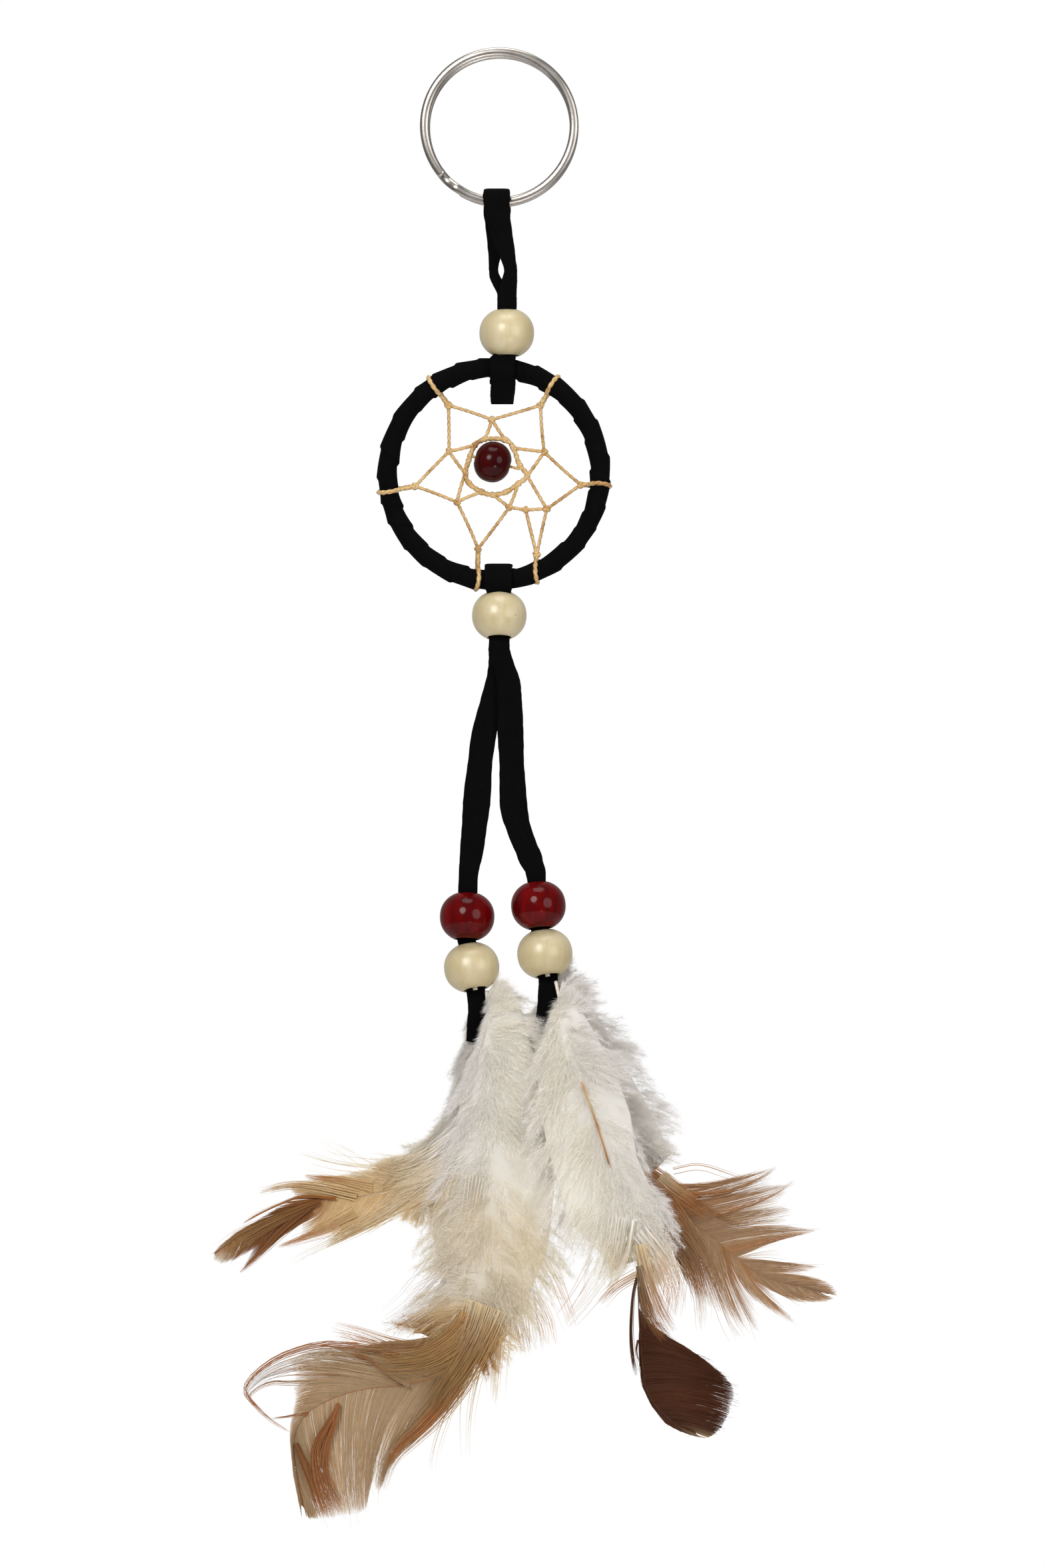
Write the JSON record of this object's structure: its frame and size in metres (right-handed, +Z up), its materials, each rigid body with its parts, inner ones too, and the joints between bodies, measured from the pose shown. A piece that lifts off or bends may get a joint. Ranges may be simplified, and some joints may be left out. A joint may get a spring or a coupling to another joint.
{
  "type": "dream catcher keychain",
  "caption": "Hanging dream catcher on a split key ring: suede laces, a wrapped hoop with a knotted web and bead, and two beaded strands ending in feathers.",
  "frame": {"origin": "centre of the split key ring, hanging pose", "axes": "+Z up along the hanging object, +X to the right and -Y towards the viewer; the hoop and web lie in the XZ plane"},
  "size_m": [0.118, 0.0162, 0.2778],
  "materials": {
    "key_ring_wire": "bright nickel plate",
    "black_suede": "matt napped suede",
    "natural_bead": "varnished pale wood",
    "red_bead": "glossy red stain",
    "maroon_bead": "glossy dark red stain",
    "hoop_wire": "plain",
    "waxed_thread": "waxed twisted thread",
    "quill": "horny, semi-gloss",
    "tan_feather": "white down with a tan tip",
    "brown_feather": "white down with a brown tip"
  },
  "bodies": {
    "key_ring": {"split_ring": "key_ring_wire"},
    "hanger": {"hanger_lace": "black_suede"},
    "top_bead": {"upper_bead": "natural_bead"},
    "sling": {"sling_lace": "black_suede"},
    "hoop": {"hoop_core": "hoop_wire", "hoop_wrap": "black_suede", "web_anchor_ties": "waxed_thread", "web_outer_threads": "waxed_thread", "web_inner_threads": "waxed_thread", "web_centre_loop": "waxed_thread", "web_knots": "waxed_thread"},
    "centre_bead": {"web_bead": "maroon_bead"},
    "tail": {"tail_lace": "black_suede", "lower_bead": "natural_bead"},
    "left_strand": {"left_lace": "black_suede", "left_natural_bead": "natural_bead", "left_quill_ends": "quill"},
    "left_bead": {"left_red_bead": "red_bead"},
    "right_strand": {"right_lace": "black_suede", "right_natural_bead": "natural_bead", "right_quill_ends": "quill"},
    "right_bead": {"right_red_bead": "red_bead"},
    "left_upper_plume": {"left_upper_feather": "tan_feather"},
    "left_lower_plume": {"left_lower_feather": "tan_feather"},
    "right_upper_plume": {"right_upper_feather": "brown_feather"},
    "right_lower_plume": {"right_lower_feather": "brown_feather"}
  },
  "joints": [
    {"name": "ring_swing", "type": "hinge", "parent": "key_ring", "child": "hanger", "pos_m": [0, 0, -0.01415], "axis": [1, 0, 0], "range_deg": [-120, 120]},
    {"name": "top_bead_slide", "type": "slide", "parent": "hanger", "child": "top_bead", "axis": [0, 0, 1], "range_m": [0, 0.003]},
    {"name": "sling_twist", "type": "hinge", "parent": "hanger", "child": "sling", "pos_m": [0.00145, 0, -0.03905], "axis": [0, 0, 1], "range_deg": [-90, 90], "stiffness_Nm_per_rad": 0.0001},
    {"name": "hoop_swing", "type": "hinge", "parent": "sling", "child": "hoop", "pos_m": [0, 0, -0.0457], "axis": [1, 0, 0], "range_deg": [-75, 75]},
    {"name": "centre_bead_spin", "type": "hinge", "parent": "hoop", "child": "centre_bead", "pos_m": [-0.00125, 0, -0.0634], "axis": [0.9659, 0, -0.2588], "continuous": true},
    {"name": "tail_swing", "type": "hinge", "parent": "hoop", "child": "tail", "pos_m": [0, 0, -0.0857], "axis": [1, 0, 0], "range_deg": [-75, 75]},
    {"name": "left_strand_swing", "type": "hinge", "parent": "tail", "child": "left_strand", "pos_m": [0, 0.00065, -0.0992], "axis": [0, 1, 0], "range_deg": [-1, 35], "stiffness_Nm_per_rad": 0.02},
    {"name": "right_strand_swing", "type": "hinge", "parent": "tail", "child": "right_strand", "pos_m": [0, -0.00065, -0.0992], "axis": [0, -1, 0], "range_deg": [-1, 35], "stiffness_Nm_per_rad": 0.02},
    {"name": "left_bead_slide", "type": "slide", "parent": "left_strand", "child": "left_bead", "axis": [0.0279, 0, 0.9996], "range_m": [0, 0.003]},
    {"name": "right_bead_slide", "type": "slide", "parent": "right_strand", "child": "right_bead", "axis": [-0.0767, 0, 0.9971], "range_m": [0, 0.0015]},
    {"name": "left_upper_plume_swing", "type": "hinge", "parent": "left_strand", "child": "left_upper_plume", "pos_m": [-0.0044, 0.00065, -0.1636], "axis": [0, 1, 0], "range_deg": [-8, 12], "stiffness_Nm_per_rad": 0.01},
    {"name": "left_lower_plume_swing", "type": "hinge", "parent": "left_strand", "child": "left_lower_plume", "pos_m": [-0.0044, 0.00065, -0.1636], "axis": [0, 1, 0], "range_deg": [-8, 12], "stiffness_Nm_per_rad": 0.01},
    {"name": "right_upper_plume_swing", "type": "hinge", "parent": "right_strand", "child": "right_upper_plume", "pos_m": [0.0092, -0.00065, -0.1611], "axis": [0, -1, 0], "range_deg": [-8, 12], "stiffness_Nm_per_rad": 0.01},
    {"name": "right_lower_plume_swing", "type": "hinge", "parent": "right_strand", "child": "right_lower_plume", "pos_m": [0.0092, -0.00065, -0.1611], "axis": [0, -1, 0], "range_deg": [-8, 12], "stiffness_Nm_per_rad": 0.01}
  ]
}
